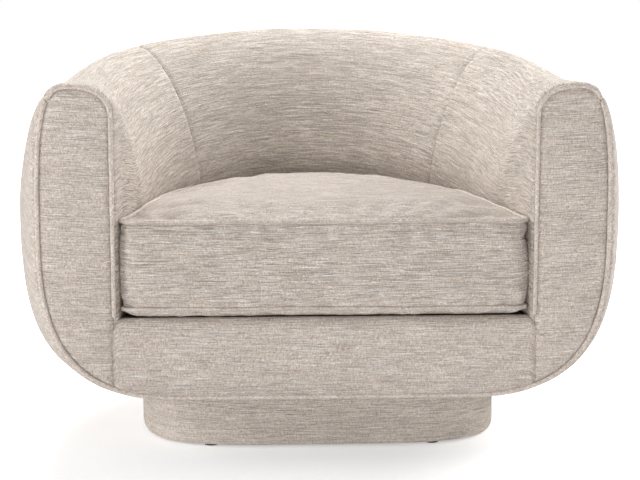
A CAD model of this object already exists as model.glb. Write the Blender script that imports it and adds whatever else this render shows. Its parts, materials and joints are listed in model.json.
import json
import math
import bpy
import numpy as np
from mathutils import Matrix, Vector, noise


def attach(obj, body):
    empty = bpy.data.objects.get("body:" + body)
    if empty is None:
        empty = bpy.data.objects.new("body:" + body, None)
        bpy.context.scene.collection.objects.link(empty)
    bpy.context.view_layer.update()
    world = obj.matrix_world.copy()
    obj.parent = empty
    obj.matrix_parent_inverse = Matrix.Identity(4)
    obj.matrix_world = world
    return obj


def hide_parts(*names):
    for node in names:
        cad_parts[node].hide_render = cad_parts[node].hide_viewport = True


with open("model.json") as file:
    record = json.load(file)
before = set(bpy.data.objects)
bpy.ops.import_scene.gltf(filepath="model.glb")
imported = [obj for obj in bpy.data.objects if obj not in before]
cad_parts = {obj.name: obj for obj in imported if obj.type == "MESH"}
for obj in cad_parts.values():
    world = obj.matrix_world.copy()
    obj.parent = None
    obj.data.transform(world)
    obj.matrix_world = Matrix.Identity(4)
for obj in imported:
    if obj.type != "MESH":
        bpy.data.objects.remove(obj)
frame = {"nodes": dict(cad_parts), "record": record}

bpy.ops.object.select_all(action="DESELECT")  # the loaded nodes come in selected
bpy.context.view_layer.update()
mm = 0.001

# Form of the shell: the sizes of the frame, with corners that follow the photo a little closer
shell = {
    "halfWidth": 523.5 * mm,
    "frontY": -425 * mm,
    "bellyY": 300 * mm,  # from the arm fronts back to the widest place
    "backReach": 550 * mm,
    "frontReach": 655 * mm,
    "bottomZ": 114 * mm,
    "bellyZ": 394 * mm,
    "armTop": 629 * mm,
    "backTop": 708 * mm,
    "armThick": 129 * mm,
    "wallThick": 228 * mm,
    "ridgeSide": 117 * mm,
    "ridgeTurn": 10 * mm,
    "ridgeIn": 60 * mm,
    "armRoll": 58 * mm,
    "leanZ": 400 * mm,
    "frontTuck": 250 * mm,
    "sideTuck": 167 * mm,
    "seamShare": 0.91,  # height of the shoulder seam
    "seamU": 0.6,  # seams between the outside back and the outside arms
    "insideSeams": (-0.408, 0.426),  # the inside back's seams, as the photo shows them
    "seamGap": 0.0006,
    "deckZ": 229 * mm,
    "skinY": -417 * mm,  # where the covers start behind the welts
    "rise": (0.13, 0.85, 0.9),  # where the top edge starts to rise, over what share of the sweep, and its bend
    "ridgeReach": 0.42,  # shares of the sweep over which each form changes
    "wallReach": 0.3,
    "rollReach": 0.22,
    "tuckReach": 0.2,
    "lowFull": (2.86, 2.7, 0.25),  # a corner's fullness at the arm fronts and further back, and the reach
    "highFull": (3.1, 2.2, 0.15),
    "rollFull": (2.4, 1.6, 0.22),
}
widestY = shell["frontY"] + shell["bellyY"]
startTurn = -math.asin(shell["bellyY"] / shell["frontReach"])
sweepTurn = math.pi / 2 - startTurn
widestU = -startTurn / sweepTurn


def ease(t):
    t = min(max(t, 0), 1)
    return t * t * (3 - 2 * t)


def mix(a, b, t):
    return a + (b - a) * t


def turnAt(u):  # u runs from 0 at an arm front to 1 at the middle of the back
    return mix(startTurn, math.pi / 2, u)


def planPoint(u):
    turn = turnAt(u)
    reach = shell["frontReach"] if turn < 0 else shell["backReach"]
    return shell["halfWidth"] * math.cos(turn), widestY + reach * math.sin(turn)


def heading(u):
    turn = turnAt(u)
    if turn <= 0:
        return 0
    return math.atan2(math.sin(turn) / shell["backReach"], math.cos(turn) / shell["halfWidth"])


def uAt(y):
    return (math.asin((y - widestY) / shell["frontReach"]) - startTurn) / sweepTurn


def place(s, inset, z):  # s runs from -1 at the left arm front to 1 at the right one
    u = 1 - abs(s)
    x, y = planPoint(u)
    x -= inset * math.cos(heading(u))
    y -= inset * math.sin(heading(u))
    return np.array((-x if s < 0 else x, y, z))


def topZ(u):
    start, reach, bend = shell["rise"]
    return mix(shell["armTop"], shell["backTop"], ease((u - start) / reach) ** bend)


def ridge(u):
    if u <= widestU:
        return planPoint(u)[0] - shell["halfWidth"] + shell["ridgeSide"] + shell["ridgeTurn"] * u / widestU
    share = ease((u - widestU) / shell["ridgeReach"])
    return mix(shell["ridgeSide"] + shell["ridgeTurn"], shell["ridgeIn"], share)


def wall(u):
    k = min(u / shell["wallReach"], 1)
    return mix(shell["armThick"], shell["wallThick"], 1 - (1 - k) ** 2)


def roll(u):
    return mix(shell["armRoll"], topZ(u) - shell["leanZ"], ease(u / shell["rollReach"]))


def tuck(u):
    return mix(shell["frontTuck"], shell["sideTuck"], ease(u / shell["tuckReach"]))


def fullness(corner, u):
    front, back, reach = shell[corner]
    return mix(front, back, ease(u / reach))


def quarter(a, corner, u):  # a point of a superelliptic quarter
    power = 2 / fullness(corner, u)
    return abs(math.sin(a)) ** power, abs(math.cos(a)) ** power


def lowPoint(u, a, inset=0):
    rise, out = quarter(a, "lowFull", u)
    drop = shell["bellyZ"] - shell["bottomZ"] - inset
    return tuck(u) - (tuck(u) - inset) * out, shell["bellyZ"] - drop * rise


def highPoint(u, a, inset=0):
    rise, out = quarter(a, "highFull", u)
    climb = topZ(u) - shell["bellyZ"] - inset
    return ridge(u) - (ridge(u) - inset) * out, shell["bellyZ"] + climb * rise


def rollPoint(u, a, inset=0):
    across, up = quarter(a, "rollFull", u)
    return ridge(u) + (wall(u) - ridge(u) - inset) * across, topZ(u) - roll(u) + (roll(u) - inset) * up


def seamAngle(u):
    return math.asin(shell["seamShare"] ** (fullness("highFull", u) / 2))


def steps(start, end, count):
    return [mix(start, end, i / count) for i in range(count + 1)]


def crowded(count, crowd):  # steps from 0 to 1 that lie closer together at both ends
    return [mix(t, 0.5 - 0.5 * math.cos(math.pi * t), crowd) for t in steps(0, 1, count)]


def runAlong(points):  # a line's length up to each of its points
    return np.concatenate([[0], np.cumsum(np.linalg.norm(np.diff(points, axis=0), axis=1))])


def resample(points, shares):  # points at the given shares of a line's length, and its length
    points = np.array(points)
    lengths = runAlong(points)
    wanted = np.array(shares) * lengths[-1]
    return np.stack([np.interp(wanted, lengths, points[:, k]) for k in range(points.shape[1])], 1), lengths[-1]


def meshPiece(name, vertices, faces, weave=None):  # weave holds each vertex's place on the cloth, in metres
    mesh = bpy.data.meshes.new(name)
    mesh.from_pydata([tuple(v) for v in vertices], [], faces)
    piece = bpy.data.objects.new(name, mesh)
    bpy.context.scene.collection.objects.link(piece)
    if weave is not None:
        layer = mesh.uv_layers.new(name="weave")
        corners = np.zeros(len(mesh.loops), int)
        mesh.loops.foreach_get("vertex_index", corners)
        layer.data.foreach_set("uv", np.array(weave, float)[corners].ravel())
    mesh.update()
    return piece


def gridFaces(rows, columns, loopRows=False, loopColumns=False):
    faces = []
    for i in range(rows if loopRows else rows - 1):
        for j in range(columns if loopColumns else columns - 1):
            a, b = i * columns + j, i * columns + (j + 1) % columns
            c, d = ((i + 1) % rows) * columns + (j + 1) % columns, ((i + 1) % rows) * columns + j
            faces.append((a, b, c, d))
    return faces


def gridNormals(grid):  # grid is rows x columns x 3
    along = np.gradient(grid, axis=0)
    across = np.gradient(grid, axis=1)
    normal = np.cross(along, across)
    return normal / np.maximum(np.linalg.norm(normal, axis=2, keepdims=True), 1e-12)


def activate(piece):
    bpy.ops.object.select_all(action="DESELECT")
    piece.select_set(True)
    bpy.context.view_layer.objects.active = piece


def finishMesh(piece, thickness=None, smooth=180):  # smoothing, after the cloth's thickness where one is given
    activate(piece)
    if thickness:
        solid = piece.modifiers.new("wall", "SOLIDIFY")
        solid.thickness = thickness
        solid.offset = -1
        bpy.ops.object.modifier_apply(modifier="wall")
    bpy.ops.object.shade_smooth_by_angle(angle=math.radians(smooth))
    piece.select_set(False)
    return piece


def softNoise(p, scale, seed):  # scale in cycles a metre
    return noise.noise(Vector((p[0] * scale + seed, p[1] * scale - seed, p[2] * scale + 2 * seed)))


# Shader maths: a wire stands for a socket, and expressions on wires add Math nodes
class Wire:
    def __init__(self, paint, socket):
        self.paint = paint
        self.socket = socket

    def do(self, operation, *others):
        return self.paint.node("ShaderNodeMath", {"operation": operation}, (self,) + others)

    def __add__(self, other):
        return self.do("ADD", other)

    __radd__ = __add__

    def __mul__(self, other):
        return self.do("MULTIPLY", other)

    __rmul__ = __mul__

    def __sub__(self, other):
        return self.do("SUBTRACT", other)

    def __truediv__(self, other):
        return self.do("DIVIDE", other)


class Paint:
    def __init__(self, name):
        self.material = bpy.data.materials.new(name)
        self.material.use_nodes = True
        self.tree = self.material.node_tree
        self.shader = self.tree.nodes["Principled BSDF"]

    def feed(self, socket, value):
        if isinstance(value, Wire):
            self.tree.links.new(value.socket, socket)
        else:
            socket.default_value = value

    def node(self, kind, settings=None, values=(), out=0):
        made = self.tree.nodes.new(kind)
        for key, value in (settings or {}).items():
            if key == "stops":
                while len(made.color_ramp.elements) < len(value):
                    made.color_ramp.elements.new(0.5)
                for element, (at, colour) in zip(made.color_ramp.elements, value):
                    element.position = at
                    element.color = colour
            else:
                setattr(made, key, value)
        for key, value in values.items() if isinstance(values, dict) else enumerate(values):
            self.feed(made.inputs[key], value)
        return Wire(self, made.outputs[out])

    def blend(self, share, a, b):  # sockets 0, 6 and 7 are the colour Mix node's factor and colours
        return self.node("ShaderNodeMix", {"data_type": "RGBA"}, {0: share, 6: a, 7: b}, 2)

    def spot(self):  # a place on the piece, in metres
        return self.node("ShaderNodeTexCoord", out="Object")

    def along(self, vector, axis):  # distance along an axis
        settings = {"operation": "DOT_PRODUCT"}
        return self.node("ShaderNodeVectorMath", settings, (vector, tuple(float(v) for v in axis)), 1)

    def noise(self, vector, scale, seed, detail=2):  # scale in cycles a metre on each axis
        grown = self.node("ShaderNodeVectorMath", {"operation": "MULTIPLY"}, (vector, scale))
        shift = (seed, seed * 0.7, seed * 1.3)
        moved = self.node("ShaderNodeVectorMath", {"operation": "ADD"}, (grown, shift))
        values = {"Vector": moved, "Scale": 1.0, "Detail": detail, "Roughness": 0.5}
        return self.node("ShaderNodeTexNoise", {"noise_dimensions": "3D"}, values)

    def between(self, value, low, high):  # 0 below low, 1 above high
        values = {0: value, 1: low, 2: high, 3: 0.0, 4: 1.0}
        return self.node("ShaderNodeMapRange", {"interpolation_type": "SMOOTHSTEP"}, values)

    def set(self, **values):
        for key, value in values.items():
            self.feed(self.shader.inputs[key.replace("_", " ")], value)

    def bump(self, height, distance, strength):
        values = {"Height": height, "Distance": distance, "Strength": strength}
        return self.node("ShaderNodeBump", None, values)


def linen(name, look):  # slub weave on the piece's own weave map, in metres
    paint = Paint(name)
    cloth = paint.node("ShaderNodeUVMap", {"uv_map": "weave"})
    if look["bias"]:
        turned = {"Vector": cloth, "Axis": (0, 0, 1), "Angle": math.radians(look["bias"])}
        cloth = paint.node("ShaderNodeVectorRotate", None, turned)
    fields = {key: paint.noise(cloth, *field) for key, field in look["fields"].items()}
    tone = 0.5
    for key in ("weft", "warp", "grain", "patch"):
        tone = look[key] * (fields[key] - 0.5) + tone
    for key, start, full, tint in look["threads"]:
        tone = look[key] * tint * paint.between(fields[key], start, full) + tone
    stops = [(0.0, look["dark"]), (0.5, look["middle"]), (1.0, look["light"])]
    colour = paint.node("ShaderNodeValToRGB", {"stops": stops}, (tone,))
    paleSlub = paint.between(fields["slub"], *look["threads"][0][1:3])
    height = look["ridge"] * paleSlub
    for key, share in look["heights"].items():
        height = share * fields[key] + height
    paint.set(Base_Color=colour, Roughness=look["rough"], Sheen_Weight=look["sheen"], Sheen_Roughness=0.5)
    paint.set(Normal=paint.bump(height, look["relief"], look["strength"]), Specular_IOR_Level=0.25)
    return paint.material


linenLook = {
    "dark": (0.330, 0.272, 0.222, 1),
    "middle": (0.585, 0.503, 0.446, 1),
    "light": (0.860, 0.805, 0.740, 1),
    "fields": {  # cycles in a metre along and across the weft, seed and detail
        "slub": ((15, 540, 1), 3),
        "thin": ((28, 880, 1), 21),
        "weft": ((200, 900, 1), 40),
        "warp": ((430, 130, 1), 60),
        "grain": ((480, 480, 1), 95, 1),
        "patch": ((11, 30, 1), 80),
    },
    "weft": 0.5,  # how strongly each of them tints the cloth
    "warp": 0.85,
    "grain": 1.1,
    "patch": 0.22,
    "slub": 0.45,
    "thin": 0.31,
    "threads": [  # pale slubs first: the levels between which threads come up, and their tint
        ("slub", 0.53, 0.72, 1.35),
        ("slub", 0.46, 0.30, -0.5),
        ("thin", 0.55, 0.75, 1.3),
        ("thin", 0.45, 0.27, -0.6),
    ],
    "heights": {"slub": 0.6, "thin": 0.4, "weft": 0.15, "warp": 0.15},
    "ridge": 0.5,  # what the pale slubs stand out beyond that
    "rough": 0.92,
    "sheen": 0.1,
    "relief": 2.4 * mm,
    "strength": 1.0,
    "bias": 0,
}
linenCloth = linen("linenCloth", linenLook)
# paler threads stand for the light that the inside and the plinth gather in the photo
paleLook = dict(
    linenLook,
    dark=(0.390, 0.324, 0.266, 1),
    middle=(0.690, 0.602, 0.528, 1),
    light=(0.940, 0.870, 0.795, 1),
)
# the pull over the inside raises its slubs
ridgedCloth = linen("ridgedCloth", dict(paleLook, slub=1.0, thin=0.62, relief=5 * mm))
plinthCloth = linen("plinthCloth", paleLook)
seatCloth = linen("seatCloth", dict(linenLook, slub=0.85, thin=0.5, relief=3.2 * mm))
pipingCloth = linen("pipingCloth", dict(linenLook, bias=42, slub=0.14, relief=0.8 * mm))


def felt(name, colour, pale):
    paint = Paint(name)
    spot = paint.spot()
    fluff = paint.noise(spot, (900, 900, 900), 5, 3)
    patch = paint.noise(spot, (40, 40, 40), 9, 2)
    paint.set(Base_Color=paint.blend(0.6 * fluff + 0.4 * patch, colour, pale), Roughness=0.95, Sheen_Weight=0.1)
    paint.set(Normal=paint.bump(fluff, 0.4 * mm, 0.6))
    return paint.material


blackFelt = felt("blackFelt", (0.012, 0.012, 0.013, 1), (0.05, 0.05, 0.052, 1))


# Finishes of the frame's own parts, which keep their shapes
plyLook = {
    "pale": (0.700, 0.540, 0.345, 1),
    "deep": (0.520, 0.365, 0.205, 1),
    "core": (0.300, 0.185, 0.095, 1),
    "layer": 1.5 * mm,
    "rough": 0.6,
}
beechLook = {
    "pale": (0.620, 0.400, 0.235, 1),
    "deep": (0.430, 0.250, 0.130, 1),
    "fleck": (0.270, 0.140, 0.070, 1),
    "rough": 0.55,
}


def thinWay(node):  # the way in which a flat part is thinnest, and where it starts along it
    points = np.array([tuple(v.co) for v in node.data.vertices])
    axis = np.linalg.svd(points - points.mean(axis=0), full_matrices=False)[2][2]
    return axis, float((points @ axis).min())


def timberSpot(paint, grain, thin):  # places along the grain, across it and through the board
    spot = paint.spot()
    across = np.cross(thin, grain)
    return paint.node("ShaderNodeCombineXYZ", None, [paint.along(spot, axis) for axis in (grain, across, thin)])


def plywood(name, thin, start):  # plies lie across the board's thickness, so they show on its edges
    paint = Paint(name)
    grain = np.cross(thin, (0, 0, 1)) if abs(thin[2]) < 0.7 else np.array((1.0, 0, 0))
    grain = grain / np.linalg.norm(grain)
    spot = timberSpot(paint, grain, thin)
    figure = paint.noise(spot, (3.5, 34, 34), 4, 3)
    fibre = paint.noise(spot, (18, 520, 520), 11, 2)
    cross = paint.noise(spot, (520, 18, 520), 17, 2)
    turn = (paint.along(spot, (0, 0, 1)) - (start - plyLook["layer"] / 2)) / plyLook["layer"]
    swing = (turn * math.pi).do("SINE")
    ply = paint.between(swing, -0.12, 0.12)
    glue = paint.between(swing.do("ABSOLUTE"), 0.16, 0.05)
    long = paint.blend(0.6 * figure + 0.4 * fibre, plyLook["deep"], plyLook["pale"])
    short = paint.blend(0.4 * figure + 0.6 * cross, plyLook["core"], plyLook["deep"])
    paint.set(Base_Color=paint.blend(glue * 0.7, paint.blend(ply, short, long), plyLook["core"]))
    paint.set(Roughness=plyLook["rough"] + 0.15 * (fibre - 0.5), Normal=paint.bump(fibre, 0.25 * mm, 0.5))
    return paint.material


def beech(name, grain):
    paint = Paint(name)
    thin = np.array((0, 1.0, 0))
    spot = timberSpot(paint, np.array(grain, float), thin)
    figure = paint.noise(spot, (4, 45, 45), 4, 3)
    fibre = paint.noise(spot, (22, 600, 600), 11, 2)
    fleck = paint.between(paint.noise(spot, (120, 900, 900), 31, 1), 0.66, 0.74)
    wood = paint.blend(0.6 * figure + 0.4 * fibre, beechLook["deep"], beechLook["pale"])
    paint.set(Base_Color=paint.blend(fleck * 0.6, wood, beechLook["fleck"]))
    paint.set(Roughness=beechLook["rough"] + 0.2 * (fibre - 0.5), Normal=paint.bump(fibre, 0.2 * mm, 0.5))
    return paint.material


def metal(name, dark, light, rough, metallic=1.0):  # clouded plating with fine scratches
    paint = Paint(name)
    spot = paint.spot()
    cloud = paint.noise(spot, (70, 70, 70), 6, 3)
    grit = paint.noise(spot, (900, 900, 900), 12, 2)
    scratch = paint.noise(spot, (40, 1400, 1400), 19, 1)
    share = paint.between(0.7 * cloud + 0.3 * grit, 0.35, 0.65)
    paint.set(Base_Color=paint.blend(share, dark, light), Metallic=metallic)
    paint.set(Roughness=rough + 0.25 * (cloud - 0.5) + 0.12 * (scratch - 0.5))
    paint.set(Normal=paint.bump(0.5 * grit + 0.5 * scratch, 0.04 * mm, 0.4))
    return paint.material


def plastic(name, dark, light):
    paint = Paint(name)
    spot = paint.spot()
    grain = paint.noise(spot, (1300, 1300, 1300), 3, 2)
    scuff = paint.noise(spot, (60, 260, 400), 8, 3)
    paint.set(Base_Color=paint.blend(paint.between(scuff, 0.4, 0.75), dark, light))
    paint.set(Roughness=0.45 + 0.2 * scuff, Normal=paint.bump(grain, 0.05 * mm, 0.5))
    return paint.material


metals = {
    "zinc_steel": metal("zincSteel", (0.42, 0.43, 0.45, 1), (0.66, 0.68, 0.70, 1), 0.38),
    "yellow_zinc": metal("yellowZinc", (0.48, 0.33, 0.10, 1), (0.72, 0.58, 0.24, 1), 0.36),
    "spring_wire": metal("springWire", (0.05, 0.05, 0.055, 1), (0.16, 0.16, 0.165, 1), 0.45, 0.9),
    "glide_plastic": plastic("glidePlastic", (0.018, 0.018, 0.019, 1), (0.06, 0.06, 0.062, 1)),
}
upright = ("deck_posts", "plinth_blocks")  # beech with its grain standing
for entry in frame["record"]["subparts"]:
    part, finish = frame["nodes"][entry["node"]], entry["material_slot"]
    if finish == "birch_plywood":
        coat = plywood("ply_" + entry["node"], *thinWay(part))
    elif finish == "beech":
        coat = beech("beech_" + entry["node"], (0, 0, 1) if entry["node"] in upright else (1, 0, 0))
    elif finish in metals:
        coat = metals[finish]
    else:
        continue
    for held in part.material_slots:
        held.material = coat
print("frame finished")


# Upholstered panels of the shell
panel = {
    "across": 120,  # stations along the plan
    "down": 90,  # points down a section
    "acrossCrowd": 0.7,  # how much they crowd at the edges
    "downCrowd": 0.35,
    "wall": 7 * mm,
    "swell": 1.3 * mm,  # unevenness of the padding
    "swellScale": 9,
    "ripple": 0.3,  # share of the swell that is finer
    "rippleScale": 34,
    "seamDepth": 2.2 * mm,
    "seamReach": 4.5 * mm,
    "edgeRoll": 11 * mm,  # covers curve in to the welts
    "edgeDrop": 6 * mm,
    "gather": 2.0 * mm,  # puckers behind the arch piping
    "gatherReach": 16 * mm,
    "gatherPitch": 8 * mm,
    "gatherRun": 50 * mm,
    "pull": 0.7 * mm,  # small puckers beside the seams
    "pullReach": 22 * mm,
    "pullPitch": 7 * mm,
    "pullRun": 90 * mm,
    "reachLimit": 90 * mm,  # nothing at an edge reaches further in
    "centre": (0, -100 * mm, 350 * mm),  # the covers' outer sides face away from here
}


def turnOutwards(piece):
    activate(piece)
    bpy.ops.object.mode_set(mode="EDIT")
    bpy.ops.mesh.select_all(action="SELECT")
    bpy.ops.mesh.normals_make_consistent(inside=False)
    bpy.ops.object.mode_set(mode="OBJECT")


def outsideSection(u):
    seam = seamAngle(u)
    under = [lowPoint(u, a) for a in steps(math.pi / 2, 0, 60)]
    return under[:-1] + [highPoint(u, a) for a in steps(0, seam, 40)]


def insideSection(u):
    over = [highPoint(u, a) for a in steps(seamAngle(u), math.pi / 2, 20)]
    down = [rollPoint(u, a) for a in steps(0, math.pi / 2, 60)]
    return over[:-1] + down + [(wall(u), shell["deckZ"])]


def valley(distance, reach):
    return math.exp(-((distance / reach) ** 2))


def shellPanel(name, section, s0, s1, frontEnds, seed):
    across = crowded(panel["across"], panel["acrossCrowd"])
    down = crowded(panel["down"], panel["downCrowd"])
    stations = [mix(s0, s1, t) for t in across]
    isInside = section is insideSection
    grid, heights = [], []
    for s in stations:
        points, length = resample(section(1 - abs(s)), down)
        grid.append([place(s, inset, z) for inset, z in points])
        heights.append([share * length for share in down])
    grid, heights = np.array(grid), np.array(heights)
    runs = runAlong([place(s, wall(1 - abs(s)) if isInside else 0, 0) for s in stations])
    normals = gridNormals(grid)
    middle = panel["down"] // 2
    away = grid[:, -1 if isInside else middle] - np.array(panel["centre"])
    facing = np.einsum("ij,ij->i", normals[:, -2 if isInside else middle], away).mean()
    outwards = normals if (facing < 0) == isInside else -normals
    spans = np.linalg.norm(np.diff(grid, axis=0), axis=2)
    fromStart = np.vstack([np.zeros((1, spans.shape[1])), np.cumsum(spans, axis=0)])
    toEnd = fromStart[-1] - fromStart
    moved = grid.copy()
    for i in range(len(stations)):
        for j in range(panel["down"] + 1):
            p, height = grid[i, j], heights[i, j]
            depth = panel["swell"] * softNoise(p, panel["swellScale"], seed)
            depth += panel["ripple"] * panel["swell"] * softNoise(p, panel["rippleScale"], seed)
            seamGap = height if isInside else heights[i, -1] - height
            depth -= panel["seamDepth"] * valley(seamGap, panel["seamReach"])
            for atFront, gap in ((frontEnds[0], fromStart[i, j]), (frontEnds[1], toEnd[i, j])):
                if gap > panel["reachLimit"]:
                    continue
                if atFront:
                    rollShare = max(0, 1 - gap / panel["edgeRoll"])
                    depth -= panel["edgeDrop"] * (1 - math.sqrt(max(0, 1 - rollShare**2)))
                    if isInside:
                        at = Vector((height / panel["gatherPitch"], gap / panel["gatherRun"], seed))
                        depth += panel["gather"] * math.exp(-gap / panel["gatherReach"]) * noise.noise(at)
                else:
                    depth -= panel["seamDepth"] * valley(gap, panel["seamReach"])
                    at = Vector((height / panel["pullPitch"], seed, gap / panel["pullRun"]))
                    depth += panel["pull"] * math.exp(-gap / panel["pullReach"]) * noise.noise(at)
            moved[i, j] = p + outwards[i, j] * depth
    rows, columns = moved.shape[:2]
    weave = [(runs[i] + seed, heights[i, j] + 2 * seed) for i in range(rows) for j in range(columns)]
    layers = np.concatenate([moved.reshape(-1, 3), (grid - outwards * panel["wall"]).reshape(-1, 3)])
    piece = meshPiece(name, layers, gridFaces(rows, columns) + innerFaces(rows, columns), weave + weave)
    turnOutwards(piece)
    piece.data.materials.append(ridgedCloth if isInside else linenCloth)
    return finishMesh(piece, smooth=70)


def innerFaces(rows, columns):  # the back of a grid's cloth, and the strip round its edge
    count = rows * columns
    faces = [tuple(count + v for v in face[::-1]) for face in gridFaces(rows, columns)]
    edge = list(range(columns)) + [i * columns + columns - 1 for i in range(1, rows)]
    edge += [(rows - 1) * columns + j for j in range(columns - 2, -1, -1)]
    edge += [i * columns for i in range(rows - 2, 0, -1)]
    return faces + [(b, a, a + count, b + count) for a, b in zip(edge, edge[1:] + edge[:1])]


def dress(piece, body, *nodes, fill=None, slot="linen"):
    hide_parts(*nodes)
    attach(piece, body)
    return piece


frontS = 1 - uAt(shell["skinY"])
seamS = 1 - shell["seamU"]
leftS, rightS = shell["insideSeams"]
gapS = shell["seamGap"]
panelRuns = {  # section, both ends of the run, which of them lie at an arm front, and a seed
    "outside_arm_left": (outsideSection, -frontS, -seamS - gapS, (True, False), 1.1),
    "outside_arm_right": (outsideSection, seamS + gapS, frontS, (False, True), 2.3),
    "outside_back": (outsideSection, -seamS + gapS, seamS - gapS, (False, False), 3.7),
    "inside_arm_left": (insideSection, -frontS, leftS - gapS, (True, False), 4.9),
    "inside_arm_right": (insideSection, rightS + gapS, frontS, (False, True), 5.3),
    "inside_back": (insideSection, leftS + gapS, rightS - gapS, (False, False), 6.1),
}
for node, (section, s0, s1, frontEnds, seed) in panelRuns.items():
    words = node.split("_")
    made = shellPanel("cover" + "".join(w.title() for w in words), section, s0, s1, frontEnds, seed)
    dress(made, "shell", node, fill=0.9)
print("covers of the shell made")


# Padded arm fronts, as level rows between the inner and the outer edge
armFront = {
    "inset": 5.5 * mm,
    "rows": 150,
    "columns": 44,
    "edgeDrop": 13 * mm,
    "edgeReach": 13 * mm,
    "crown": 2.5 * mm,
    "crownReach": 45 * mm,
    "face": 1 * mm,  # behind the shell's front plane
    "wall": 18 * mm,  # from that plane to the flat back
    "uneven": 0.8 * mm,
    "unevenScale": 14,
    "lean": 0.06,  # slope of the weave towards the outer edge
}
frontEdgeX = planPoint(0)[0]


def lowHeight(inset, depth):  # height of the bottom curve at an inset, on the arm fronts' plane
    pairs = [lowPoint(0, a, depth) for a in steps(0, math.pi / 2, 60)]
    return float(np.interp(inset, [q[0] for q in pairs], [q[1] for q in pairs]))


def edgeAt(points, z):  # inset of a line of points at a height
    points = sorted(points, key=lambda q: q[1])
    return float(np.interp(z, [q[1] for q in points], [q[0] for q in points]))


def armFrontPiece(side, name, seed):
    depth = armFront["inset"]
    foot = lowHeight(wall(0) - depth, depth)
    outer = [lowPoint(0, a, depth) for a in steps(0, math.pi / 2, 80)]
    outer += [highPoint(0, a, depth) for a in steps(0.01, math.pi / 2, 80)]
    inner = [(wall(0) - depth, foot)] + [rollPoint(0, a, depth) for a in steps(math.pi / 2, 0, 80)]
    heights = [mix(foot, inner[-1][1] - 0.05 * mm, t) for t in crowded(armFront["rows"], 1)]
    edges = [(edgeAt(inner, z), edgeAt(outer, z)) for z in heights]
    rim = np.array([(pair[k], z) for k in (0, 1) for pair, z in zip(edges, heights)])
    vertices, weave = [], []
    for (a, b), z in zip(edges, heights):
        for t in crowded(armFront["columns"], 1):
            inset = mix(a, b, t)
            gap = float(np.sqrt(((rim - (inset, z)) ** 2).sum(axis=1).min()))
            edge = max(0, 1 - gap / armFront["edgeReach"])
            x = side * (frontEdgeX - inset)
            y = shell["frontY"] + armFront["face"] + armFront["edgeDrop"] * (1 - math.sqrt(1 - edge**2))
            y -= armFront["crown"] * ease(gap / armFront["crownReach"])
            y += armFront["uneven"] * softNoise((x, 0, z), armFront["unevenScale"], seed)
            vertices.append((x, y, z))
            weave.append((x + seed, z - armFront["lean"] * (abs(x) - 0.4) + seed))
    rows, columns = armFront["rows"] + 1, armFront["columns"] + 1
    vertices += [(x, shell["frontY"] + armFront["wall"], z) for x, y, z in vertices]
    piece = meshPiece(name, vertices, gridFaces(rows, columns) + innerFaces(rows, columns), weave + weave)
    turnOutwards(piece)
    piece.data.materials.append(linenCloth)
    return finishMesh(piece, smooth=70)


def crowdedIn(rings):  # shares that lie closer together at the edge
    return [t**1.6 for t in steps(0, 1, rings)]


def faceForward(piece):  # turns the faces so that most look to the front
    total = sum(p.normal.y * p.area for p in piece.data.polygons)
    if total > 0:
        piece.data.flip_normals()
        piece.data.update()


for side, name, seed in ((-1, "Left", 1.7), (1, "Right", 2.9)):
    dress(armFrontPiece(side, "armPad" + name, seed), "shell", "arm_front_" + name.lower(), fill=0.85)
print("arm fronts made")


# Front apron with a rounded top edge that also turns down at its ends
apron = {
    "halfWidth": frontEdgeX - shell["armThick"] + 9 * mm,
    "topZ": 250 * mm,
    "radius": 17 * mm,
    "depth": 22 * mm,
    "face": 1 * mm,
    "endRound": 20 * mm,
    "endDrop": 14 * mm,  # of the top edge at the ends
    "underRound": 12 * mm,
    "underDrop": 4.5 * mm,
    "sideRound": 6 * mm,
    "sideDrop": 4 * mm,
    "crown": 3 * mm,
    "crownReach": (70 * mm, 50 * mm, 20 * mm),  # from the ends, the bottom and the top
    "uneven": 0.9 * mm,
    "unevenScale": 11,
    "inset": 5.5 * mm,
    "columns": 200,
    "rows": 60,
    "wall": 8 * mm,
}


def apronPiece():
    vertices, weave = [], []
    face, r = shell["frontY"] + apron["face"], apron["radius"]
    ends, foot, head = apron["crownReach"]
    xs = [apron["halfWidth"] * math.sin(t) for t in steps(-math.pi / 2, math.pi / 2, apron["columns"])]
    for x in xs:
        endGap = apron["halfWidth"] - abs(x)
        bend = max(0, 1 - endGap / apron["endRound"])
        top = apron["topZ"] - apron["endDrop"] * (1 - math.sqrt(1 - bend**2))
        bottom = lowHeight(max(frontEdgeX - abs(x), apron["inset"]), apron["inset"])
        line = [(face + apron["depth"], top - 1 * mm), (face + r, top)]
        line += [(face + r - r * math.sin(a), top - r + r * math.cos(a)) for a in steps(0.1, math.pi / 2, 14)]
        line += [(face, z) for z in steps(top - r, bottom, 40)[1:]]
        line, length = resample(line, crowded(apron["rows"], 0.25))
        for k, (y, z) in enumerate(line):
            underGap = math.hypot(y - line[-1][0], z - line[-1][1])
            under = max(0, 1 - underGap / apron["underRound"])
            drop = apron["underDrop"] * (1 - math.sqrt(1 - under**2))
            drop += apron["sideDrop"] * valley(endGap, apron["sideRound"]) if z < top - 2 * mm else 0
            bulge = apron["crown"] * ease(endGap / ends) * ease(underGap / foot) * ease((top - z) / head)
            uneven = apron["uneven"] * softNoise((x, y, z), apron["unevenScale"], 8.2)
            vertices.append((x, y + drop - bulge + uneven, z))
            weave.append((x, k / apron["rows"] * length))
    piece = meshPiece("apronPad", vertices, gridFaces(len(xs), apron["rows"] + 1), weave)
    faceForward(piece)
    piece.data.materials.append(linenCloth)
    return finishMesh(piece, apron["wall"])


dress(apronPiece(), "shell", "front_apron", fill=0.85)
print("apron made")


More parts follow.
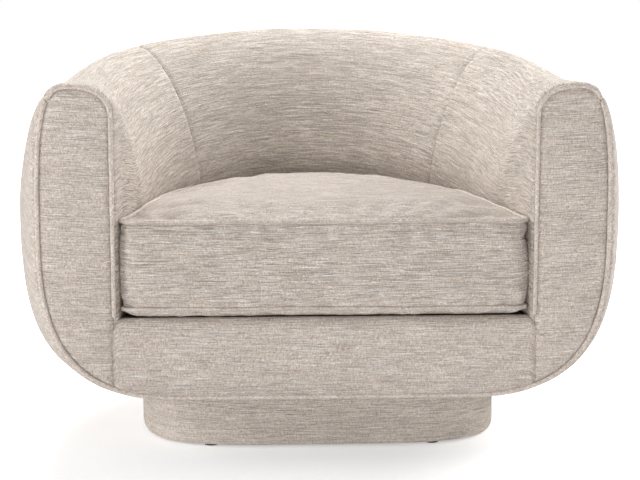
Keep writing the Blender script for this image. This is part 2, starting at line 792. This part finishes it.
# Welt cords
cordLook = {
    "radius": 4 * mm,
    "sides": 12,
    "inset": 5 * mm,
    "spacing": 2.5 * mm,  # of its rings
    "wave": 0.35 * mm,  # how far it strays from its line
    "waveScale": 25,
    "swell": 0.05,
    "swellScale": 160,
    "endRings": 2.5,  # over which an open end closes
}


def cordPiece(name, path, closed, seed, across):
    line = np.vstack([path, path[:1]]) if closed else np.array(path)
    points, _ = resample(line, steps(0, 1, int(runAlong(line)[-1] / cordLook["spacing"])))
    if closed:
        points = points[:-1]
    vertices, weave = [], []
    n, sides, radius = len(points), cordLook["sides"], cordLook["radius"]
    for i, p in enumerate(points):
        before = points[i - 1] if closed or i else p
        after = points[(i + 1) % n] if closed or i < n - 1 else p
        along = (after - before) / np.linalg.norm(after - before)
        out = np.cross(along, across)
        out = out / np.linalg.norm(out)
        up = np.cross(out, along)
        run = i * cordLook["spacing"]
        shift = cordLook["wave"] * noise.noise(Vector((run * cordLook["waveScale"], seed, 0)))
        lift = cordLook["wave"] * noise.noise(Vector((run * cordLook["waveScale"], seed, 9)))
        swell = 1 + cordLook["swell"] * noise.noise(Vector((run * cordLook["swellScale"], seed, 3)))
        closing = 1 if closed else min(1, math.sqrt(max(0.02, min(i, n - 1 - i) / cordLook["endRings"])))
        for k in range(sides):
            a = 2 * math.pi * k / sides
            ring = radius * swell * closing * (math.cos(a) * out + math.sin(a) * up)
            vertices.append(p + shift * out + lift * up + ring)
            weave.append((run, a * radius))
    faces = gridFaces(n, sides, loopRows=closed, loopColumns=True)
    if not closed:
        faces += [tuple(range(sides))[::-1], tuple((n - 1) * sides + k for k in range(sides))]
    piece = meshPiece(name, vertices, faces, weave)
    turnOutwards(piece)
    piece.data.materials.append(pipingCloth)
    return finishMesh(piece)


def onFront(q, side):
    return (side * (frontEdgeX - q[0]), shell["frontY"] + cordLook["radius"], q[1])


def archPath(side):
    inset = cordLook["inset"]
    line = [(wall(0) - inset, z) for z in steps(apron["topZ"] + 2 * mm, 560 * mm, 30)]
    line += [rollPoint(0, a, inset) for a in steps(math.pi / 2, 0, 40)][1:]
    line += [highPoint(0, a, inset) for a in steps(math.pi / 2, seamAngle(0), 30)][1:]
    return [onFront(q, side) for q in line]


def edgeHalf(side):
    inset = cordLook["inset"]
    line = [highPoint(0, a, inset) for a in steps(seamAngle(0) - 0.03, 0, 40)]
    line += [lowPoint(0, a, inset) for a in steps(0, math.pi / 2, 60)][1:]
    return [onFront(q, side) for q in line]


acrossFront = np.array((0, 1, 0))
for side, name in ((-1, "Left"), (1, "Right")):
    cord = cordPiece("archPiping" + name, archPath(side), False, 3 + side, acrossFront)
    dress(cord, "shell", "arch_welt_" + name.lower(), slot="piping")
edgeLine = edgeHalf(-1) + edgeHalf(1)[::-1]
cord = cordPiece("edgePiping", edgeLine, False, 8, acrossFront)
dress(cord, "shell", "edge_welt", slot="piping")
print("piping of the shell made")


# Loose seat cushion
cushion = {
    "frontY": -421 * mm,
    "low": 264.5 * mm,
    "high": 407.6 * mm,
    "floor": 250.4 * mm,
    "crownFull": 4.5,
    "startCrown": 13 * mm,  # before the filling swells it
    "playFront": 4 * mm,
    "seamDraw": 3.5 * mm,
    "seamShare": 0.05,  # of the band's height
    "bandBulge": 3 * mm,
    "foldReach": 60 * mm,  # folds lie no further back than this
    "creaseX": 318 * mm,
    "crease": 1.6 * mm,
    "creaseWidth": 3.5 * mm,
    "creaseEnds": (0.2, 0.15),  # shares of the band over which it fades below and above
    "hollow": 0.8,  # beside each crease, as a share of it
    "hollowGap": 7 * mm,
    "hollowWidth": 4 * mm,
    "puckers": [(-0.16, 0.300, 2.2 * mm), (-0.16, 0.312, -2.6 * mm)],  # lean, place and height
    "puckerWidth": 5 * mm,
    "puckerShare": 0.22,
    "underRound": 0.09,  # share of the way in at which the underside is flat
    "play": 9 * mm,
    "corner": 18 * mm,
    "cornerDraw": 3 * mm,
    "centre": (0, -110 * mm),
    "round": 304,  # points round the outline
    "topRings": 44,
    "bandRows": 34,
    "cap": 16 * mm,  # how far the filling may move the cloth
    "frontCap": 4 * mm,  # how far that may reach before the arm fronts
    "weltWave": 2.2 * mm,
    "waveScale": 11,
    "clothShift": 2.0,  # keeps the underside's weave apart from the top's
}
fillCloth = {
    "quality": 5,
    "mass": 0.25,
    "tension_stiffness": 12,
    "compression_stiffness": 12,
    "shear_stiffness": 4,
    "bending_stiffness": 0.6,
    "use_pressure": True,
    "uniform_pressure_force": 4.0,
    "shrink_min": -0.02,  # extra cloth, which wrinkles along the seams
}
fillFrames = 20


def cushionSide(u):
    play = mix(cushion["playFront"], cushion["play"], ease(u / 0.12))
    return place(1 - u, wall(u) + play, 0)[:2]


def cushionOutline():
    startU = uAt(cushion["frontY"] + cushion["corner"])
    sideX, r, draw = cushionSide(startU)[0], cushion["corner"], cushion["cornerDraw"]
    half = [(t * (sideX - r), cushion["frontY"]) for t in steps(0, 1, 30)[:-1]]
    for a in steps(0, math.pi / 2, 12)[:-1]:
        x = sideX - r + (r - draw * math.sin(2 * a)) * math.sin(a)
        y = cushion["frontY"] + r - (r - draw * math.sin(2 * a)) * math.cos(a)
        half.append((x, y))
    half += [tuple(cushionSide(u)) for u in steps(startU, 1, 90)]
    whole = half + [(-x, y) for x, y in half[-2:0:-1]]
    points, _ = resample(whole + [whole[0]], steps(0, 1, cushion["round"]))
    return np.roll(points[:-1], cushion["round"] // 2, axis=0)  # the cloth's join lies at the back


def outlineNormals(outline):
    along = np.roll(outline, -1, axis=0) - np.roll(outline, 1, axis=0)
    normal = np.stack([along[:, 1], -along[:, 0]], 1)
    return normal / np.linalg.norm(normal, axis=1, keepdims=True)


def thinned(ring, share):  # rings hold fewer points towards the middle of a panel
    for limit in (0.45, 0.7, 0.84, 0.93):
        if share > limit:
            ring = ring[::2]
    return ring


def ringFaces(start, count, nextStart, nextCount):  # between two rings, of which one may have half the points
    if count == nextCount:
        pairs = [(j, (j + 1) % count) for j in range(count)]
        return [(start + a, start + b, nextStart + b, nextStart + a) for a, b in pairs]
    if count < nextCount:
        return [face[::-1] for face in ringFaces(nextStart, nextCount, start, count)]
    faces = []
    for i in range(nextCount):
        a, b, c = 2 * i, 2 * i + 1, (2 * i + 2) % count
        d, e = nextStart + i, nextStart + (i + 1) % nextCount
        faces += [(start + a, start + b, d), (start + b, start + c, e, d)]
    return faces


def bandFold(x, y, t):  # creases by the front corners, and a pucker at the lower left one
    if y > cushion["frontY"] + cushion["foldReach"]:
        return 0
    depth = 0
    below, above = cushion["creaseEnds"]
    for side in (-1, 1):
        gap = x - side * cushion["creaseX"]
        depth += cushion["crease"] * valley(gap, cushion["creaseWidth"]) * ease(t / below) * ease((1 - t) / above)
        beside = valley(gap + side * cushion["hollowGap"], cushion["hollowWidth"])
        depth -= cushion["hollow"] * cushion["crease"] * beside * ease(t / below)
    for slope, at, size in cushion["puckers"]:
        depth += size * valley(x + at - slope * t, cushion["puckerWidth"]) * valley(t, cushion["puckerShare"])
    return depth


def weltLine(outline, seed):  # how far a welt strays up or down
    scale = cushion["waveScale"]
    return [cushion["weltWave"] * noise.noise(Vector((x * scale, y * scale, seed))) for x, y in outline]


def stackFaces(rings):  # faces between stacked rings, closed by two middles that follow the rings' points
    sizes = [len(points) for points in rings]
    starts = [sum(sizes[:i]) for i in range(len(sizes))]
    faces = []
    for i in range(len(rings) - 1):
        faces += ringFaces(starts[i], sizes[i], starts[i + 1], sizes[i + 1])
    count, few, last = sum(sizes), sizes[-1], starts[-1]
    faces += [(count, (j + 1) % few, j) for j in range(few)]
    faces += [(count + 1, last + j, last + (j + 1) % few) for j in range(few)]
    return faces, starts


def cushionPiece():
    outline = cushionOutline()
    normal = outlineNormals(outline)
    centre = np.array(cushion["centre"])
    lowWave, highWave = weltLine(outline, 4), weltLine(outline, 9)
    run, shift = runAlong(outline), cushion["clothShift"]
    rings, weave, pins = [], [], []

    def ring(points, pinned, cloth):
        rings.append(points)
        pins.append(pinned)
        weave.append(cloth)

    for k in crowdedIn(cushion["topRings"])[::-1]:
        if k == 1:
            continue
        flat = outline + (centre - outline) * k
        lift = 1 - math.sqrt(1 - max(0, 1 - k / cushion["underRound"]) ** 2)
        z = [cushion["floor"] + (cushion["low"] + w - cushion["floor"]) * lift for w in lowWave]
        ring(thinned(np.column_stack([flat, z]), k), k == 0, thinned(flat + shift, k))
    for t in steps(0, 1, cushion["bandRows"])[1:-1]:
        tight = cushion["seamDraw"] * (valley(t, cushion["seamShare"]) + valley(1 - t, cushion["seamShare"]))
        full = cushion["bandBulge"] * math.sin(math.pi * t) - tight
        bulge = np.array([full + bandFold(x, y, t) for x, y in outline])
        flat = outline + normal * bulge[:, None]
        z = [mix(cushion["low"] + a, cushion["high"] + b, t) for a, b in zip(lowWave, highWave)]
        ring(np.column_stack([flat, z]), False, np.column_stack([run, z]))
    for k in crowdedIn(cushion["topRings"]):
        if k == 1:
            continue
        flat = outline + (centre - outline) * k
        rise = cushion["startCrown"] * (1 - (1 - k) ** cushion["crownFull"])
        z = [cushion["high"] + w * (1 - k) + rise for w in highWave]
        ring(thinned(np.column_stack([flat, z]), k), k == 0, thinned(flat, k))
    top = cushion["high"] + cushion["startCrown"]
    vertices = np.vstack(rings + [[(*centre, cushion["floor"]), (*centre, top)]])
    cloth = np.vstack(weave + [[centre + shift, centre]])
    faces, starts = stackFaces(rings)
    piece = meshPiece("cushionCover", vertices, faces, cloth)
    turnOutwards(piece)
    pinned = [starts[i] + j for i, isPin in enumerate(pins) if isPin for j in range(len(rings[i]))]
    rested = [i for i, v in enumerate(vertices) if v[2] < cushion["floor"] + 1 * mm]
    return piece, pinned, rested, outline, lowWave, highWave


def places(mesh):
    flat = np.zeros(len(mesh.vertices) * 3)
    mesh.vertices.foreach_get("co", flat)
    return flat.reshape(-1, 3)


def inflate(piece, pinned, rested):  # swells the cushion by a cloth simulation, and keeps its last frame
    rest = places(piece.data)
    group = piece.vertex_groups.new(name="held")
    group.add(pinned + rested, 1.0, "REPLACE")
    cloth = piece.modifiers.new("fill", "CLOTH")
    for key, value in fillCloth.items():
        setattr(cloth.settings, key, value)
    cloth.settings.effector_weights.gravity = 0
    cloth.settings.vertex_group_mass = "held"
    cloth.point_cache.frame_start = 1
    cloth.point_cache.frame_end = fillFrames
    scene = bpy.context.scene
    for frameNumber in range(1, fillFrames + 1):
        scene.frame_set(frameNumber)
    blown = places(piece.evaluated_get(bpy.context.evaluated_depsgraph_get()).data)
    piece.modifiers.remove(cloth)
    scene.frame_set(1)
    step = blown - rest
    reach = np.linalg.norm(step, axis=1, keepdims=True)
    capped = rest + step * np.minimum(1, cushion["cap"] / np.maximum(reach, 1e-9))
    capped[:, 2] = np.maximum(capped[:, 2], cushion["floor"])
    capped[:, 1] = np.maximum(capped[:, 1], shell["frontY"] - cushion["frontCap"])
    piece.data.vertices.foreach_set("co", capped.ravel())
    piece.data.update()
    print("cushion moved at most %.1f mm" % (1000 * np.linalg.norm(capped - rest, axis=1).max()))


seatPad, pinned, rested, seatOutline, lowWave, highWave = cushionPiece()
inflate(seatPad, pinned, rested)
seatPad.data.materials.append(seatCloth)
activate(seatPad)
smoothing = seatPad.modifiers.new("smooth", "SUBSURF")
smoothing.levels = smoothing.render_levels = 1
bpy.ops.object.modifier_apply(modifier="smooth")
finishMesh(seatPad)
dress(seatPad, "cushion", "seat_cushion", fill=0.7)

upwards = np.array((0, 0, 1))
for level, node, wave in (("low", "cushion_welt_bottom", lowWave), ("high", "cushion_welt_top", highWave)):
    path = [(x, y, cushion[level] + w) for (x, y), w in zip(seatOutline, wave)]
    cord = cordPiece("seatPiping" + level.title(), path, True, 12, upwards)
    dress(cord, "cushion", node, slot="piping")
print("seat cushion made")


# Deck pad over the springs, and the dust cover under the shell
deck = {
    "frontY": -402.5 * mm,
    "gap": 2 * mm,
    "low": 235.4 * mm,
    "high": 250 * mm,
    "edge": 0.035,
    "rings": 40,
    "round": 240,
    "centre": (0, -110 * mm),
    "dip": 1.6 * mm,
    "tuftPitch": 118 * mm,  # of the quilting
    "tuftStart": 350 * mm,
    "tuftWidth": 7 * mm,
}
dust = {
    "frontY": -398.5 * mm,
    "gap": 2 * mm,
    "z": 131.4 * mm,
    "sag": 1.6 * mm,
    "hole": 100 * mm,  # half its width
    "rings": 36,
    "round": 240,
    "wall": 0.6 * mm,
}


def planRing(y0, insetAt, count):  # an even line round the inside of the shell
    half = [tuple(place(1 - u, insetAt(u), 0)[:2]) for u in steps(uAt(y0), 1, 120)]
    half = [(half[0][0] * t, y0) for t in steps(0, 1, 40)[:-1]] + half
    whole = half + [(-x, y) for x, y in half[-2:0:-1]]
    return resample(whole + [whole[0]], steps(0, 1, count))[0][:-1]


def loopArea(ring):
    x, y = ring[:, 0], ring[:, 1]
    return abs(np.dot(x, np.roll(y, -1)) - np.dot(y, np.roll(x, -1))) / 2


def tuftDip(x, y):  # grooves of the quilting, and a little unevenness
    pitch = deck["tuftPitch"]
    acrossGap = abs((x + pitch / 2) % pitch - pitch / 2)
    alongGap = abs((y + deck["tuftStart"]) % pitch - pitch / 2)
    groove = valley(min(acrossGap, alongGap), deck["tuftWidth"])
    return deck["dip"] * (groove + 0.5 + 0.5 * softNoise((x, y, 0), 20, 7.7))


def deckPiece():
    outline = planRing(deck["frontY"], lambda u: wall(u) + deck["gap"], deck["round"])
    centre = np.array(deck["centre"])
    middle, half = (deck["low"] + deck["high"]) / 2, (deck["high"] - deck["low"]) / 2
    rings = []
    for side in (-1, 1):
        shares = crowdedIn(deck["rings"])
        for k in shares[::-1] if side < 0 else shares[1:]:
            if k == 1:
                continue
            full = math.sqrt(1 - max(0, 1 - k / deck["edge"]) ** 2)
            flat = thinned(outline + (centre - outline) * k, k)
            sunk = ease(k / deck["edge"])
            z = [middle + side * half * full - (tuftDip(x, y) if side > 0 else 0) * sunk for x, y in flat]
            rings.append(np.column_stack([flat, z]))
    vertices = np.vstack(rings + [[(*centre, deck["low"]), (*centre, deck["high"] - deck["dip"])]])
    piece = meshPiece("deckCloth", vertices, stackFaces(rings)[0])
    turnOutwards(piece)
    piece.data.materials.append(blackFelt)
    return finishMesh(piece)


def dustPiece():
    outline = planRing(dust["frontY"], lambda u: tuck(u) + dust["gap"], dust["round"])
    hole = []
    for x, y in outline:
        reach = dust["hole"] / max(abs(x), abs(y))
        hole.append((x * reach, y * reach))
    hole = np.array(hole)
    layers = []
    for t in steps(0, 1, dust["rings"]):
        flat = outline + (hole - outline) * t
        held = math.sin(math.pi * t)
        z = [dust["z"] - dust["sag"] * held * (0.6 + 0.8 * softNoise((x, y, 0), 7, 2.2)) for x, y in flat]
        layers.append(np.column_stack([flat, z]))
    faces = gridFaces(len(layers), dust["round"], loopColumns=True)
    piece = meshPiece("dustCloth", np.concatenate(layers), faces)
    if sum(p.normal.z * p.area for p in piece.data.polygons) > 0:
        piece.data.flip_normals()
    piece.data.materials.append(blackFelt)
    return finishMesh(piece, dust["wall"]), outline


dress(deckPiece(), "shell", "deck_pad", fill=0.8, slot="black_felt")
dustCloth, dustOutline = dustPiece()
dress(dustCloth, "shell", "dust_cover", slot="black_felt")
dustSize = dustOutline.max(axis=0) - dustOutline.min(axis=0)
dustArea = loopArea(dustOutline) - (2 * dust["hole"]) ** 2
print("deck pad and dust cover made")
print("dust cover %.0f x %.0f mm, %.3f square metres" % (*(1000 * dustSize), dustArea))


# Padded cover of the plinth
plinth = {
    "a": 321 * mm,
    "b": 305 * mm,
    "full": 4.2,
    "top": 100 * mm,
    "foot": 4 * mm,
    "wall": 6 * mm,
    "round": 360,
    "topRound": 6 * mm,
    "footRound": 3.5 * mm,  # inwards
    "footRise": 8 * mm,
    "swell": 0.8 * mm,
    "reach": 0.31,  # about its half width, where the swell is full
}


def plinthRing(inset, z):
    ring = []
    for k in range(plinth["round"]):
        t = math.pi / 2 + 2 * math.pi * (k + 0.5) / plinth["round"]
        c, s = math.cos(t), math.sin(t)
        x = (plinth["a"] - inset) * math.copysign(abs(c) ** (2 / plinth["full"]), c)
        y = (plinth["b"] - inset) * math.copysign(abs(s) ** (2 / plinth["full"]), s)
        swell = 1 + plinth["swell"] * softNoise((x, y, z), 12, 5.5) / plinth["reach"]
        ring.append((x * swell, y * swell, z))
    return np.array(ring)


def plinthPiece():
    foot, top, turnIn, r = plinth["foot"], plinth["top"], plinth["footRound"], plinth["topRound"]
    bends = steps(0.2, math.pi / 2, 8)
    profile = [(plinth["wall"], foot), (turnIn, foot)]
    profile += [(turnIn * (1 - math.sin(a)), foot + plinth["footRise"] * (1 - math.cos(a))) for a in bends]
    profile += [(0, z) for z in steps(14 * mm, top - r, 24)]
    profile += [(r * (1 - math.cos(a)), top - r + r * math.sin(a)) for a in bends]
    rings = [plinthRing(inset, z) for inset, z in profile]
    rings.append(plinthRing(plinth["wall"], top - 1 * mm))
    run = runAlong(rings[10])
    weave = [(run[j], ring[j][2]) for ring in rings for j in range(plinth["round"])]
    faces = gridFaces(len(rings), plinth["round"], loopRows=True, loopColumns=True)
    piece = meshPiece("plinthCloth", np.concatenate(rings), faces, weave)
    turnOutwards(piece)
    piece.data.materials.append(plinthCloth)
    return finishMesh(piece, smooth=60)


dress(plinthPiece(), "base", "plinth_cover", fill=0.9)
print("plinth cover made")


# Camera, floor and light
camera = {
    "position": (-0.1125, -2.825, 0.7345),
    "yaw": 0.043,  # to the right
    "pitch": 0.1472,  # down
    "lens": 85.0,
    "sensor": 36,
}
turn = (math.pi / 2 - camera["pitch"], 0, -camera["yaw"])
bpy.ops.object.camera_add(location=camera["position"], rotation=turn)
eye = bpy.context.object
eye.data.lens = camera["lens"]
eye.data.sensor_width = camera["sensor"]
bpy.context.scene.camera = eye

# what camera rays add to the floor: less near the chair, so that its shadow stays
glow = {"near": 0.47, "far": 1.0, "from": 0.6, "to": 1.3}
floorSize = 240
bpy.ops.mesh.primitive_plane_add(size=floorSize, location=(0, 0, 0))
floor = bpy.context.object
floor.name = "floor"


def floorMaterial():
    paint = Paint("paleFloor")
    away = paint.node("ShaderNodeVectorMath", {"operation": "LENGTH"}, (paint.spot(),), 1)
    level = paint.between(away, glow["from"], glow["to"]) * (glow["far"] - glow["near"]) + glow["near"]
    seen = paint.node("ShaderNodeLightPath", out="Is Camera Ray")
    paint.set(Base_Color=(0.9, 0.9, 0.9, 1), Roughness=0.9, Specular_IOR_Level=0.1)
    paint.set(Emission_Color=seen * level, Emission_Strength=1.0)
    return paint.material


floor.data.materials.append(floorMaterial())

world = bpy.data.worlds.new("paleRoom")
bpy.context.scene.world = world
world.use_nodes = True
roomTree = world.node_tree
background = roomTree.nodes["Background"]
background.inputs["Color"].default_value = (1, 1, 1, 1)
path = roomTree.nodes.new("ShaderNodeLightPath")
level = roomTree.nodes.new("ShaderNodeMix")
level.inputs["A"].default_value = 0.3  # what lights the chair
level.inputs["B"].default_value = 1.0  # what the camera sees
roomTree.links.new(path.outputs["Is Camera Ray"], level.inputs["Factor"])
roomTree.links.new(level.outputs["Result"], background.inputs["Strength"])

lamps = {
    "leftLamp": {"place": (-3.2, -0.9, 1.5), "size": (1.6, 1.6), "watts": 49},
    "frontLamp": {"place": (-0.8, -4.2, 0.3), "size": (2.6, 0.5), "watts": 65},
    "backLamp": {"place": (-0.3, 1.6, 3.0), "size": (1.8, 1.8), "watts": 120},
    "rightLamp": {"place": (2.8, 0.8, 1.8), "size": (1.2, 1.2), "watts": 80},
}
aim = Vector((0, -0.05, 0.35))
for name, lamp in lamps.items():
    bpy.ops.object.light_add(type="AREA", location=lamp["place"])
    light = bpy.context.object
    light.name = name
    light.data.shape = "RECTANGLE"
    light.data.size, light.data.size_y = lamp["size"]
    light.data.energy = lamp["watts"]
    light.rotation_euler = (aim - Vector(lamp["place"])).to_track_quat("-Z", "Y").to_euler()
bpy.context.scene.view_settings.view_transform = "Standard"
print("camera, floor and lamps set")
